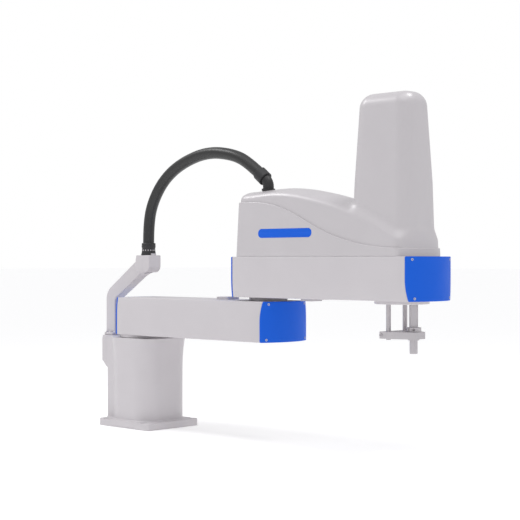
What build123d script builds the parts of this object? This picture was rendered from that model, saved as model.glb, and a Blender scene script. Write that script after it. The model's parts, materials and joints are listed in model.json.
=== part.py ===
from build123d import *

import math
import os

# SCARA robot arm with a 1000 mm reach: base, two links, a tool shaft that lifts and turns, drives and covers.
# The origin is on the J1 axis at the underside of the base. +X runs along both links at rest, and +Z is up.

# ---------------------------------------------------------------- driving dimensions
link = 500.0  # J1 to J2, and J2 to J3
j1_x = 0.0
j2_x = link
j3_x = 2 * link
gap = 0.3  # between bodies that pass each other
running = 0.05  # radial clearance of a shaft in its bearing
wall = 7.0  # castings
skin = 3.0  # moulded covers

plate_x, plate_y, plate_t = 112.0, 101.0, 21.0  # half length, half width and thickness
base_hole_x, base_hole_y, base_hole_r = 84.0, 88.0, 6.75
column_half, column_r, column_flare = 89.0, 58.0, 5.5
column_top = 265.0
rear_half, rear_floor = 68.0, 167.0  # rear box, and the underside of the connector housing
housing_back, housing_half = -180.0, 32.0

arm1_z, arm2_z, arm_h = 274.0, 394.0, 110.0
arm_wide, arm_narrow = 90.0, 82.0  # half widths at the wide and at the narrow face
arm1_rear, arm1_front = -70.0, 583.0  # apexes of the two curved ends
arm2_rear, arm2_front = 420.0, 1072.0
end_r, end_t = 175.0, 4.5  # plan radius and thickness of the end covers
screw_z_in, screw_y_in = 7.5, 14.0  # an end cover's screws, from its upper or lower rim and from its side
arm1_top = arm1_z + arm_h
arm2_top = arm2_z + arm_h

m3_r, m3_head_r, head_sunk = 1.6, 3.2, 2.0  # socket-head screws of the end covers

reducer1_r, spigot1_r = 75.0, 42.0
hub2_r, spigot2_r, reducer2_r = 52.5, 32.0, 50.0

shaft_r, shaft_tip_r, shaft_bore_r = 11.0, 10.0, 5.0
shaft_low, shaft_high = 262.6, 850.0
rod_r, rod_x, rod_y, rod_high = 6.0, 947.0, 33.0, 730.0
flange_x, flange_r, flange_low = 963.0, 69.0, 385.4
tie_low, tie_t = 299.5, 17.5
tie_top = tie_low + tie_t

belt_w, belt_t = 10.0, 1.5
pulley_r, pulley_teeth = 24.0, 30
motor3_x, motor3_pulley_r, motor3_teeth = 890.0, 14.4, 18
motor4_x, motor4_pulley_r, motor4_teeth = 800.0, 14.4, 18
frame_low, frame_high = 572.0, 584.0  # upper plate of the drive frame

cover_rear, cover_front, cover_half = 438.0, 1041.5, 88.0
cover_taper, cover_step = 2.5, 4.0
conduit_d = 33.5
fitting_top = 546.0

os.makedirs("parts", exist_ok=True)


UP = (Align.CENTER, Align.CENTER, Align.MIN)  # stands on its position
DOWN = (Align.CENTER, Align.CENTER, Align.MAX)  # hangs from its position


# ---------------------------------------------------------------- shared shapes
def arc_ends(z, rear, front, half, radius):
    """A plan outline at the height z, with two straight sides and two ends curved to the radius."""
    sag = radius - math.sqrt(radius**2 - half**2)
    with BuildSketch(Plane.XY.offset(z)) as outline:
        with BuildLine():
            ThreePointArc((front - sag, -half), (front, 0), (front - sag, half))
            Line((front - sag, half), (rear + sag, half))
            ThreePointArc((rear + sag, half), (rear, 0), (rear + sag, -half))
            Line((rear + sag, -half), (front - sag, -half))
        make_face()
    return outline.sketch


def link_section(x, z_wide, z_narrow, inset):
    """A link's cross section at x: upright on its wide half and curved inwards on its narrow half."""
    way = math.copysign(1, z_narrow - z_wide)
    z_wide, z_narrow = z_wide + way * inset, z_narrow - way * inset
    wide, narrow = arm_wide - inset, arm_narrow - inset
    middle = (z_wide + z_narrow) / 2
    with BuildSketch(Plane.YZ.offset(x)) as outline:
        with BuildLine():
            Line((-wide, z_wide), (wide, z_wide))
            Line((wide, z_wide), (wide, middle))
            TangentArc((wide, middle), (narrow, z_narrow), tangent=(0, way))
            Line((narrow, z_narrow), (-narrow, z_narrow))
            TangentArc((-wide, middle), (-narrow, z_narrow), tangent=(0, way))
            Line((-wide, middle), (-wide, z_wide))
        make_face()
    return outline.sketch


def link_block(rear, front, z_wide, z_narrow, inset, end_inset):
    """The solid inside a link outline, moved in from its sides by inset and from its ends by end_inset."""
    low, high = min(z_wide, z_narrow), max(z_wide, z_narrow)
    with BuildPart() as block:
        extrude(link_section(rear, z_wide, z_narrow, inset), amount=front - rear)
        ends = arc_ends(low, rear + end_inset, front - end_inset, arm_wide + 5, end_r - end_inset)
        extrude(ends, amount=high - low, mode=Mode.INTERSECT)
    return block.part


def end_screw_planes(apex, way, z_wide, z_narrow):
    """The four screw positions of an end cover, each a plane whose z points out of the curved face."""
    centre = apex - way * end_r
    drop = math.copysign(screw_z_in, z_narrow - z_wide)
    planes = []
    for z, y in ((z_wide + drop, arm_wide - screw_y_in), (z_narrow - drop, arm_narrow - screw_y_in + 2)):
        for side in (-1, 1):
            angle = math.asin(y / end_r)
            out = (way * math.cos(angle), side * math.sin(angle), 0)
            point = (centre + end_r * out[0], end_r * out[1], z)
            planes.append(Plane(origin=point, x_dir=(0, 0, 1), z_dir=out))
    return planes


def link_casting(rear, front, z_wide, z_narrow):
    """A hollow link with a framed opening at each end, and threaded holes in the frames."""
    frame_t, window_in = 14.0, 16.0
    tapped_r, tapped_depth = 1.65, 19.0
    with BuildPart() as casting:
        add(link_block(rear, front, z_wide, z_narrow, 0, end_t))
        add(link_block(rear, front, z_wide, z_narrow, wall, end_t + frame_t), mode=Mode.SUBTRACT)
        extrude(link_section(rear, z_wide, z_narrow, window_in), amount=front - rear, mode=Mode.SUBTRACT)
        for apex, way in ((rear, -1), (front, 1)):
            with Locations(*end_screw_planes(apex, way, z_wide, z_narrow)):
                Cylinder(tapped_r, 2 * tapped_depth, mode=Mode.SUBTRACT)
    return casting.part


def end_cover(apex, way, z_wide, z_narrow):
    """A curved cover over one end of a link, with counterbored screw holes."""
    low, high = min(z_wide, z_narrow), max(z_wide, z_narrow)
    rear, front = sorted((apex, apex - way * 2 * end_r))
    with BuildPart() as cover:
        add(link_block(rear, front, z_wide, z_narrow, 0, 0))
        with Locations((apex - way * end_r, 0, (low + high) / 2)):
            Cylinder(end_r - end_t, high - low + 2, mode=Mode.SUBTRACT)
        split(bisect_by=Plane.YZ.offset(apex - way * 60), keep=Keep.TOP if way > 0 else Keep.BOTTOM)
        with Locations(*end_screw_planes(apex, way, z_wide, z_narrow)):
            Cylinder(m3_r + 0.1, 20, mode=Mode.SUBTRACT)
            Cylinder(m3_head_r + 0.2, 2 * head_sunk, mode=Mode.SUBTRACT)
    return cover.part


def end_screws(ends, z_wide, z_narrow):
    """The socket-head screws of a link's two end covers, as one group."""
    head_h, thread, socket_r, socket_deep = 2.6, 14.0, 1.45, 1.8
    with BuildPart() as screws:
        for apex, way in ends:
            planes = end_screw_planes(apex, way, z_wide, z_narrow)
            with Locations(*[p.offset(-head_sunk) for p in planes]):
                Cylinder(m3_head_r, head_h, align=UP)
                Cylinder(m3_r, thread, align=DOWN)
            for plane in planes:
                with BuildSketch(plane.offset(head_h - head_sunk)):
                    RegularPolygon(socket_r, 6)
                extrude(amount=-socket_deep, mode=Mode.SUBTRACT)
    return screws.part


def toothed_wheel(x, low, radius, teeth, bore):
    """A belt pulley with a flange above and below its teeth."""
    flange_t, groove_r, play = 1.5, 0.9, 1.0
    height = belt_w + play + 2 * flange_t
    with BuildPart(Plane((x, 0, low))) as wheel:
        Cylinder(radius, height, align=UP)
        with PolarLocations(radius, teeth):
            Cylinder(groove_r, height, align=UP, mode=Mode.SUBTRACT)
        for z in (0, height - flange_t):
            with Locations((0, 0, z)):
                Cylinder(radius + 2, flange_t, align=UP)
        Cylinder(bore, 60, mode=Mode.SUBTRACT)
    return wheel.part


def belt_loop(x_motor, r_motor, low):
    """A closed belt round a motor pulley and the shaft's pulley."""
    with BuildPart() as belt:
        for grow, mode in ((gap + belt_t, Mode.ADD), (gap, Mode.SUBTRACT)):
            with BuildSketch(Plane.XY.offset(low)):
                with Locations((x_motor, 0)):
                    Circle(r_motor + grow)
                with Locations((j3_x, 0)):
                    Circle(pulley_r + grow)
                make_hull()
            extrude(amount=belt_w, mode=mode)
    return belt.part


def servo(x, low, half, height, flange_half):
    """A sealed servo motor standing on its flange: body, end cap, connector block."""
    flange_t, cap_share, corner = 8.0, 0.3, 6.0
    slices = (
        (low, flange_half, flange_t),
        (low + flange_t, half, height - flange_t),
        (low + height * (1 - cap_share), half + 1.5, height * cap_share - 3),
    )
    with BuildPart() as motor:
        for z, slice_half, amount in slices:
            with BuildSketch(Plane.XY.offset(z)):
                with Locations((x, 0)):
                    RectangleRounded(2 * slice_half, 2 * slice_half, corner)
            extrude(amount=amount)
        with Locations((x - half - 5, 0, low + height * 0.82)):
            Box(12, 26, 14)
    return motor.part


# ---------------------------------------------------------------- base
column_wall, motor_space_top = 10.0, 225.0
flare_steps = ((150, 0), (195, 0.4), (232, 2.2), (column_top, column_flare))  # height, growth of the column
with BuildPart() as base_casting:
    with BuildSketch():
        RectangleRounded(2 * plate_x, 2 * plate_y, 10)
    extrude(amount=plate_t)
    chamfer(base_casting.faces().sort_by(Axis.Z)[-1].edges(), 1.5)
    with BuildSketch(Plane.XY.offset(plate_t - 1)):
        RectangleRounded(2 * column_half, 2 * column_half, column_r)
    extrude(amount=flare_steps[0][0] - plate_t + 1)
    for z, grow in flare_steps:
        with BuildSketch(Plane.XY.offset(z)):
            RectangleRounded(2 * (column_half + grow), 2 * (column_half + grow), column_r)
    loft()
    with BuildSketch(Plane.XY.offset(plate_t - 1)):
        with Locations((-plate_x, 0)):
            RectangleRounded(120, 2 * rear_half, 8, align=(Align.MIN, Align.CENTER))
    extrude(amount=column_top - plate_t + 1)
    # the motor space, the reducer seat and the space in the rear box
    with BuildSketch(Plane.XY.offset(-1)):
        inner = column_half - column_wall
        RectangleRounded(2 * inner, 2 * inner, column_r - column_wall)
    extrude(amount=motor_space_top + 1, mode=Mode.SUBTRACT)
    with Locations((0, 0, motor_space_top - 10)):
        Cylinder(reducer1_r, 100, align=UP, mode=Mode.SUBTRACT)
    with Locations((-60, 0, 100)):
        Box(88, 2 * (rear_half - 9), 202, mode=Mode.SUBTRACT)
    # a shallow cable channel across the underside, and the mounting holes
    channel_length, channel_deep = 104.0, 1.5
    with Locations((2, 0, 0)):
        Box(channel_length, 2 * plate_y + 2, 2 * channel_deep, mode=Mode.SUBTRACT)
    with GridLocations(2 * base_hole_x, 2 * base_hole_y, 2, 2):
        Cylinder(base_hole_r, 2 * plate_t + 2, mode=Mode.SUBTRACT)
    # cable window to the connector housing
    with Locations((-plate_x, 0, 220)):
        Box(40, 40, 50, mode=Mode.SUBTRACT)
base_casting.part.label = "base_casting"
export_step(base_casting.part, "parts/base_casting.step")

housing_wall, housing_middle = 5.0, 222.0
bracket_hole_x, bracket_hole_dx, bracket_hole_dy = -159.0, 20.0, 43.0
with BuildPart() as rear_housing:
    with BuildSketch(Plane.XZ.offset(housing_half)):
        with BuildLine():
            Polyline(
                (-plate_x, rear_floor - 40),
                (-plate_x, column_top),
                (housing_back, column_top),
                (housing_back, rear_floor + 20),
                (housing_back + 20, rear_floor),
                (-plate_x - 16, rear_floor),
                close=True,
            )
        make_face()
    extrude(amount=-2 * housing_half)
    fillet(rear_housing.edges().filter_by(Axis.Z).group_by(Axis.X)[0], 5)
    with Locations((housing_back - 10, 0, housing_middle)):
        hollow_length = 10 - plate_x - housing_back + housing_wall
        to_front = (Align.MIN, Align.CENTER, Align.CENTER)
        Box(hollow_length, 2 * (housing_half - housing_wall), 66, align=to_front, mode=Mode.SUBTRACT)
    with Locations((bracket_hole_x, 0, column_top)):
        with GridLocations(bracket_hole_dx, bracket_hole_dy, 2, 2):
            Cylinder(2.2, 40, mode=Mode.SUBTRACT)
rear_housing.part.label = "rear_housing"
export_step(rear_housing.part, "parts/rear_housing.step")

power_z, signal_z, air_z, air_spacing = 238.0, 216.0, 196.0, 22.0
socket_half, power_h, signal_h = 17.0, 18.0, 12.0
air_hole_r, air_bore_r, panel_t = 5.0, 3.0, 2.5
air_plane = Plane((housing_back, 0, air_z), x_dir=(0, 1, 0), z_dir=(-1, 0, 0))
with BuildPart() as connector_panel:
    with BuildSketch(Plane((housing_back, 0, housing_middle), x_dir=(0, 1, 0), z_dir=(-1, 0, 0))):
        RectangleRounded(2 * housing_half - 4, 74, 4)
    extrude(amount=panel_t)
    with Locations((housing_back, 0, power_z)):
        Box(20, 2 * socket_half, power_h, mode=Mode.SUBTRACT)
    with Locations((housing_back, 0, signal_z)):
        Box(20, 2 * socket_half, signal_h, mode=Mode.SUBTRACT)
    with Locations(air_plane):
        with GridLocations(air_spacing, 1, 2, 1):
            Cylinder(air_hole_r, 20, mode=Mode.SUBTRACT)
connector_panel.part.label = "connector_panel"
export_step(connector_panel.part, "parts/connector_panel.step")

with BuildPart() as power_connector:
    with Locations((housing_back - 1, 0, power_z)):
        Box(18, 2 * socket_half - 0.2, power_h - 0.2)
        Box(19, 27, 12, mode=Mode.SUBTRACT)
    with Locations((housing_back + 4, 0, power_z)):
        Box(6, 28, 13)
    with Locations(Plane((housing_back + 2, 0, power_z), x_dir=(0, 1, 0), z_dir=(-1, 0, 0))):
        with GridLocations(6, 6, 4, 2):
            Cylinder(1, 9, align=UP)
power_connector.part.label = "power_connector"
export_step(power_connector.part, "parts/power_connector.step")

with BuildPart() as signal_connector:
    with Locations((housing_back - 1, 0, signal_z)):
        Box(14, 2 * socket_half - 0.2, signal_h - 0.2)
        Box(15, 28, 7, mode=Mode.SUBTRACT)
    with Locations((housing_back + 3, 0, signal_z)):
        Box(4, 29, 8)
signal_connector.part.label = "signal_connector"
export_step(signal_connector.part, "parts/signal_connector.step")

with BuildPart() as air_ports:
    with Locations(air_plane):
        with GridLocations(air_spacing, 1, 2, 1):
            Cylinder(air_hole_r - 0.1, 22)
            Cylinder(air_bore_r, 30, mode=Mode.SUBTRACT)
    with Locations(air_plane.offset(panel_t)):
        with GridLocations(air_spacing, 1, 2, 1):
            Cylinder(air_hole_r + 1.5, 5, align=UP)
            Cylinder(air_bore_r, 30, mode=Mode.SUBTRACT)
air_ports.part.label = "air_ports"
export_step(air_ports.part, "parts/air_ports.step")

reducer1_low, adaptor_t, adaptor_bore = 225.0, 4.0, 25.0
motor1_h = 122.0
motor1_top = reducer1_low - adaptor_t
with BuildPart() as j1_motor:
    add(servo(j1_x, motor1_top - motor1_h, 43, motor1_h, 50))
    with Locations((j1_x, 0, motor1_top)):
        Cylinder(9.5, 16, align=UP)
j1_motor.part.label = "j1_motor"
export_step(j1_motor.part, "parts/j1_motor.step")

with BuildPart() as j1_reducer:
    with Locations((j1_x, 0, reducer1_low)):
        Cylinder(reducer1_r - running, 38, align=UP)
        Cylinder(adaptor_bore, 60, mode=Mode.SUBTRACT)
    with Locations((j1_x, 0, reducer1_low + 15)):
        Cylinder(spigot1_r, 30, align=UP, mode=Mode.SUBTRACT)
    with Locations((j1_x, 0, reducer1_low + 38)):
        with PolarLocations(60, 12):
            Cylinder(4.5, 12, mode=Mode.SUBTRACT)
            Cylinder(4.4, 5, align=DOWN)
            Cylinder(2.2, 5, mode=Mode.SUBTRACT)
    with Locations((j1_x, 0, motor1_top)):
        Cylinder(49, adaptor_t, align=UP)
        Cylinder(adaptor_bore, adaptor_t, align=UP, mode=Mode.SUBTRACT)
j1_reducer.part.label = "j1_reducer"
export_step(j1_reducer.part, "parts/j1_reducer.step")

# The bracket from the side: a riser, an arm that slants forward over arm 1, and the block of the fitting.
riser_back, riser_front, riser_half, foot_t = -180.0, -138.0, 17.0, 9.0
block_half, block_back, block_front, block_top = 23.0, -32.0, 29.0, 509.5
with BuildPart() as conduit_bracket:
    with BuildSketch(Plane.XZ.offset(riser_half)) as arm_side:
        with BuildLine():
            Polyline(
                (riser_back, column_top),
                (riser_back, 398),
                (block_back, 497),
                (block_back + 20, 497),
                (block_back + 20, 455),
                (riser_front, 377),
                (riser_front, column_top),
                close=True,
            )
        make_face()
        fillet(arm_side.vertices().sort_by_distance((riser_back, 398))[0], 45)
        fillet(arm_side.vertices().sort_by_distance((riser_front, 377))[0], 16)
    extrude(amount=-2 * riser_half)
    with BuildSketch(Plane.XZ.offset(block_half)) as block_side:
        with BuildLine():
            Polyline(
                (block_back, block_top),
                (block_front, block_top),
                (block_front, 468),
                (8, 462),
                (block_back, 450),
                close=True,
            )
        make_face()
        fillet(block_side.vertices().sort_by_distance((block_front, 468))[0], 9)
    extrude(amount=-2 * block_half)
    fillet(conduit_bracket.edges().filter_by(Axis.Z).group_by(Axis.Z)[0], 4)
    with BuildSketch(Plane.XY.offset(column_top)):
        with Locations(((riser_back + riser_front) / 2, 0)):
            RectangleRounded(riser_front - riser_back, 2 * (riser_half + 9), 4)
    extrude(amount=foot_t)
    with Locations((0, 0, block_top)):
        Cylinder(12, 70, mode=Mode.SUBTRACT)
    with Locations((bracket_hole_x, 0, column_top + foot_t)):
        with GridLocations(bracket_hole_dx, bracket_hole_dy, 2, 2):
            Cylinder(2.2, 40, mode=Mode.SUBTRACT)
conduit_bracket.part.label = "conduit_bracket"
export_step(conduit_bracket.part, "parts/conduit_bracket.step")

with BuildPart() as bracket_screws:
    with Locations((bracket_hole_x, 0, column_top + foot_t)):
        with GridLocations(bracket_hole_dx, bracket_hole_dy, 2, 2):
            Cylinder(3.6, 3, align=UP)
            Cylinder(2.1, 14, align=DOWN)
            with Locations((0, 0, 1.6)):
                Cylinder(1.6, 3, align=UP, mode=Mode.SUBTRACT)
bracket_screws.part.label = "bracket_screws"
export_step(bracket_screws.part, "parts/bracket_screws.step")

with BuildPart() as base_fitting:
    with Locations((0, 0, block_top)):
        Cylinder(23, 7, align=UP)
        Cylinder(11.9, 30, align=DOWN)
        Cylinder(20.7, fitting_top - block_top, align=UP)
        with PolarLocations(20.7, 16):
            Cylinder(1.4, 24, align=UP)
        Cylinder(9, 200, mode=Mode.SUBTRACT)
    chamfer(base_fitting.edges().group_by(Axis.Z)[-1].sort_by(SortBy.RADIUS)[-1], 2)
base_fitting.part.label = "base_fitting"
export_step(base_fitting.part, "parts/base_fitting.step")

# ---------------------------------------------------------------- arm 1
arm1_ends = ((arm1_rear, -1), (arm1_front, 1))
stop_half, stop_h, stop_in, stop_out = 24.0, 8.0, 135.0, 183.0
with BuildPart() as arm1_casting:
    add(link_casting(arm1_rear, arm1_front, arm1_z, arm1_top))
    with Locations((j1_x, 0, arm1_z)):
        Cylinder(30, 40, mode=Mode.SUBTRACT)
        with PolarLocations(44, 8):
            Cylinder(3.3, 40, mode=Mode.SUBTRACT)
    with Locations((j2_x, 0, arm1_top)):
        Cylinder(45 + running, 40, mode=Mode.SUBTRACT)
arm1_casting.part.label = "arm1_casting"
export_step(arm1_casting.part, "parts/arm1_casting.step")

with BuildPart() as arm1_rear_cover:
    add(end_cover(arm1_rear, -1, arm1_z, arm1_top))
arm1_rear_cover.part.label = "arm1_rear_cover"
export_step(arm1_rear_cover.part, "parts/arm1_rear_cover.step")

with BuildPart() as arm1_front_cover:
    add(end_cover(arm1_front, 1, arm1_z, arm1_top))
arm1_front_cover.part.label = "arm1_front_cover"
export_step(arm1_front_cover.part, "parts/arm1_front_cover.step")

with BuildPart() as arm1_cover_screws:
    add(end_screws(arm1_ends, arm1_z, arm1_top))
arm1_cover_screws.part.label = "arm1_cover_screws"
export_step(arm1_cover_screws.part, "parts/arm1_cover_screws.step")

hub1_low, hub1_r = column_top + 1, 87.0
with BuildPart() as j1_output_hub:
    with Locations((j1_x, 0, hub1_low)):
        Cylinder(hub1_r, arm1_z - hub1_low, align=UP)
        Cylinder(spigot1_r - running, 24, align=DOWN)
        Cylinder(14, 100, mode=Mode.SUBTRACT)
    with Locations((j1_x, 0, arm1_z)):
        with PolarLocations(44, 8):
            Cylinder(3.05, 30, mode=Mode.SUBTRACT)
j1_output_hub.part.label = "j1_output_hub"
export_step(j1_output_hub.part, "parts/j1_output_hub.step")

with BuildPart() as j1_hub_screws:
    with Locations((j1_x, 0, arm1_z + wall)):
        with PolarLocations(44, 8):
            Cylinder(5, 6, align=UP)
            Cylinder(3, 13, align=DOWN)
            with Locations((0, 0, 3)):
                Cylinder(2.5, 5, align=UP, mode=Mode.SUBTRACT)
j1_hub_screws.part.label = "j1_hub_screws"
export_step(j1_hub_screws.part, "parts/j1_hub_screws.step")

with BuildPart() as arm1_stop_block:
    with Locations((j2_x - (stop_in + stop_out) / 2, 0, arm1_top)):
        Box(stop_out - stop_in, 2 * stop_half, stop_h, align=UP)
    fillet(arm1_stop_block.edges().filter_by(Axis.Z), 6)
    chamfer(arm1_stop_block.edges().group_by(Axis.Z)[-1], 1)
arm1_stop_block.part.label = "arm1_stop_block"
export_step(arm1_stop_block.part, "parts/arm1_stop_block.step")

with BuildPart() as j2_hub:
    with Locations((j2_x, 0, arm1_top)):
        Cylinder(hub2_r, arm2_z - gap - arm1_top, align=UP)
        Cylinder(45, 22, align=DOWN)
        Cylinder(spigot2_r - running, 58, align=UP)
        Cylinder(12, 200, mode=Mode.SUBTRACT)
j2_hub.part.label = "j2_hub"
export_step(j2_hub.part, "parts/j2_hub.step")

# ---------------------------------------------------------------- conduit, in the plane of both joint axes
conduit_points = [
    (0, 0, fitting_top + gap),
    (0, 0, 609),
    (22, 0, 674),
    (74, 0, 737),
    (152, 0, 780),
    (258, 0, 805),
    (360, 0, 793),
    (425, 0, 766),
    (483.6, 0, 721.3),
]
runs = [Vector(*b) - Vector(*a) for a, b in zip(conduit_points, conduit_points[1:])]
conduit_radii = [
    0.45 * min(a.length, b.length) / math.tan(math.radians(a.get_angle(b) / 2))
    for a, b in zip(runs, runs[1:])
]
print("conduit radii", [round(r) for r in conduit_radii])
with BuildPart() as conduit:
    with BuildLine():
        path = FilletPolyline(*conduit_points, radius=conduit_radii)
    with BuildSketch(Plane(origin=conduit_points[0], z_dir=(0, 0, 1))):
        Circle(conduit_d / 2)
    sweep()
print("conduit length", round(path.length), "volume against section times length",
      round(conduit.part.volume / (path.length * math.pi * (conduit_d / 2) ** 2), 4))
conduit.part.label = "conduit"
export_step(conduit.part, "parts/conduit.step")

# The cuff grips the last stretch of the conduit, and the bent pipe turns down into the ring on the J2 axis.
cuff_dir = runs[-1].normalized()
cuff_angle = math.asin(cuff_dir.Z)
conduit_end = Vector(*conduit_points[-1])
ring_z = 684.0
pipe_r, cuff_r, cuff_length, cuff_past = 15.0, 20.0, 31.0, 8.0
with BuildPart(Plane(origin=conduit_end + cuff_dir * cuff_past, z_dir=cuff_dir)) as conduit_cuff:
    Cylinder(cuff_r, cuff_length, align=DOWN)
    chamfer(conduit_cuff.edges(), 1.5)
    with Locations((0, 0, -cuff_past)):
        Cylinder(conduit_d / 2 + 0.02, cuff_length, align=DOWN, mode=Mode.SUBTRACT)
    Cylinder(pipe_r - 3, 4 * cuff_past, mode=Mode.SUBTRACT)
conduit_cuff.part.label = "conduit_cuff"
export_step(conduit_cuff.part, "parts/conduit_cuff.step")

bend_start = conduit_end + cuff_dir * cuff_past
bend_r = (j2_x - bend_start.X) / (1 - math.sin(-cuff_angle))
with BuildPart() as bent_pipe:
    with BuildLine():
        bend = TangentArc(
            bend_start, (j2_x, 0, bend_start.Z - bend_r * math.cos(cuff_angle)), tangent=cuff_dir
        )
        Line(bend @ 1, (j2_x, 0, ring_z - 6))
    with BuildSketch(Plane(origin=bend_start, z_dir=cuff_dir)):
        Circle(pipe_r)
        Circle(pipe_r - 3, mode=Mode.SUBTRACT)
    sweep()
bent_pipe.part.label = "bent_pipe"
export_step(bent_pipe.part, "parts/bent_pipe.step")

# ---------------------------------------------------------------- arm 2
arm2_ends = ((arm2_rear, -1), (arm2_front, 1))
with BuildPart() as arm2_casting:
    add(link_casting(arm2_rear, arm2_front, arm2_top, arm2_z))
    with Locations((j2_x, 0, arm2_z)):
        Cylinder(hub2_r + 3.5, 40, mode=Mode.SUBTRACT)
    with Locations((flange_x, 0, arm2_z)):
        Cylinder(flange_r - 7, 40, mode=Mode.SUBTRACT)
    with BuildSketch(Plane.XY.offset(arm2_top + 1)):
        with Locations((737, 0)):
            RectangleRounded(582, 140, 20)
    extrude(amount=-20, mode=Mode.SUBTRACT)
arm2_casting.part.label = "arm2_casting"
export_step(arm2_casting.part, "parts/arm2_casting.step")

with BuildPart() as arm2_rear_cover:
    add(end_cover(arm2_rear, -1, arm2_top, arm2_z))
arm2_rear_cover.part.label = "arm2_rear_cover"
export_step(arm2_rear_cover.part, "parts/arm2_rear_cover.step")

with BuildPart() as arm2_front_cover:
    add(end_cover(arm2_front, 1, arm2_top, arm2_z))
arm2_front_cover.part.label = "arm2_front_cover"
export_step(arm2_front_cover.part, "parts/arm2_front_cover.step")

with BuildPart() as arm2_cover_screws:
    add(end_screws(arm2_ends, arm2_top, arm2_z))
arm2_cover_screws.part.label = "arm2_cover_screws"
export_step(arm2_cover_screws.part, "parts/arm2_cover_screws.step")

with BuildPart() as j2_reducer:
    with Locations((j2_x, 0, arm2_z + 1)):
        Cylinder(hub2_r + 3.4, wall - 1, align=UP)
    with Locations((j2_x, 0, arm2_z + wall)):
        Cylinder(61, 9, align=UP)
        with PolarLocations(58.5, 12):
            Cylinder(2.2, 12, align=UP)
        Cylinder(reducer2_r, 50, align=UP)
    with Locations((j2_x, 0, arm2_z)):
        Cylinder(spigot2_r, 52, align=UP, mode=Mode.SUBTRACT)
        Cylinder(18, 80, align=UP, mode=Mode.SUBTRACT)
j2_reducer.part.label = "j2_reducer"
export_step(j2_reducer.part, "parts/j2_reducer.step")

motor2_low = arm2_z + wall + 50
with BuildPart() as j2_motor:
    add(servo(j2_x, motor2_low, 38, 130, 44))
    with Locations((j2_x, 0, motor2_low)):
        Cylinder(8, 12, align=DOWN)
j2_motor.part.label = "j2_motor"
export_step(j2_motor.part, "parts/j2_motor.step")

with BuildPart() as arm2_stop_block:
    with Locations((j2_x + (stop_in + stop_out) / 2, 0, arm2_z)):
        Box(stop_out - stop_in - 8, 2 * stop_half, stop_h, align=DOWN)
    fillet(arm2_stop_block.edges().filter_by(Axis.Z), 6)
    chamfer(arm2_stop_block.edges().group_by(Axis.Z)[0], 1)
arm2_stop_block.part.label = "arm2_stop_block"
export_step(arm2_stop_block.part, "parts/arm2_stop_block.step")

with BuildPart() as arm2_floor_plate:
    with BuildSketch(Plane.XY.offset(arm2_z)):
        with Locations((716, 0)):
            RectangleRounded(42, 70, 6)
    extrude(amount=-2.5)
    with Locations((716, 0, arm2_z - 2.5)):
        with GridLocations(30, 58, 2, 2):
            Cylinder(2.2, 2, mode=Mode.SUBTRACT)
arm2_floor_plate.part.label = "arm2_floor_plate"
export_step(arm2_floor_plate.part, "parts/arm2_floor_plate.step")

# ---------------------------------------------------------------- covers over arm 2
cover_high = 700.0


def cover_block(inset):
    """The tapered outline of the covers, inset from its sides, with its upper end still open to trimming."""
    with BuildPart() as block:
        rear, front = cover_rear + inset, cover_front - inset
        outline = arc_ends(arm2_top, rear, front, cover_half - inset, end_r - inset)
        extrude(outline, amount=cover_high - arm2_top, taper=cover_taper)
    return block.part


# Height above arm 2's top face of the line where the skirt stops, from the rear to the front.
wave = [(430, 146), (545, 145), (603, 135), (692, 103), (761, 72), (846, 44), (927, 28), (1050, 20)]
# Height above arm 2's top face of the upper cover's side crease and of its middle ridge.
crease = [(430, 160), (520, 164), (590, 167), (737, 148), (835, 122), (926, 85), (1014, 46), (1050, 34)]
crown = 17.0


def wave_region(drop):
    """The space under the wave line, lowered by drop."""
    with BuildPart() as region:
        with BuildSketch(Plane.XZ.offset(-120)):
            with BuildLine():
                edge = Spline(*[(x, arm2_top + h - drop) for x, h in wave])
                Polyline(edge @ 1, (wave[-1][0], arm2_top - 20), (wave[0][0], arm2_top - 20), edge @ 0)
            make_face()
        extrude(amount=240)
    return region.part


def crown_region(drop):
    """The space under the crowned upper surface, lowered by drop."""
    sections = []
    low = arm2_top - 20
    for x, h in crease:
        z = arm2_top + h - drop
        side = z - 4
        with BuildSketch(Plane.YZ.offset(x)) as outline:
            with BuildLine():
                ThreePointArc((-cover_half, side), (0, z + crown), (cover_half, side))
                Polyline((cover_half, side), (cover_half, low), (-cover_half, low), (-cover_half, side))
            make_face()
        sections.append(outline.sketch)
    with BuildPart() as region:
        loft(sections)
    return region.part


tower_top, tower_top_fillet, tower_corner = 915.0, 34.0, 40.0
# Height, rear, front and half width of the tower.
tower_steps = ((530, 836, 1034, 73), (690, 842, 1030, 65), (tower_top, 849, 1021, 49.5))


def tower_block(inset):
    """The tower: a tall box with round corners that narrows upwards."""
    with BuildPart() as block:
        for z, rear, front, half in tower_steps:
            with BuildSketch(Plane.XY.offset(min(z, tower_top - inset))):
                with Locations(((rear + front) / 2, 0)):
                    RectangleRounded(front - rear - 2 * inset, 2 * (half - inset), tower_corner - inset)
        loft(ruled=True)
        fillet(block.faces().sort_by(Axis.Z)[-1].edges(), tower_top_fillet - inset)
    return block.part


with BuildPart() as skirt_cover:
    add(cover_block(0))
    add(wave_region(0), mode=Mode.INTERSECT)
    add(cover_block(skin), mode=Mode.SUBTRACT)
skirt_cover.part.label = "skirt_cover"
export_step(skirt_cover.part, "parts/skirt_cover.step")

with BuildPart() as cover_inside:
    add(cover_block(cover_step + skin))
    add(crown_region(skin), mode=Mode.INTERSECT)
    add(tower_block(skin))

skirt_overlap, ring_hole_r = 14.0, 17.0
with BuildPart() as top_cover:
    add(cover_block(cover_step))
    add(crown_region(0), mode=Mode.INTERSECT)
    add(tower_block(0))
    add(cover_inside.part, mode=Mode.SUBTRACT)
    add(wave_region(skirt_overlap), mode=Mode.SUBTRACT)
    with Locations((j2_x, 0, ring_z)):
        Cylinder(ring_hole_r, 60, mode=Mode.SUBTRACT)
top_cover.part.label = "top_cover"
export_step(top_cover.part, "parts/top_cover.step")

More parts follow.
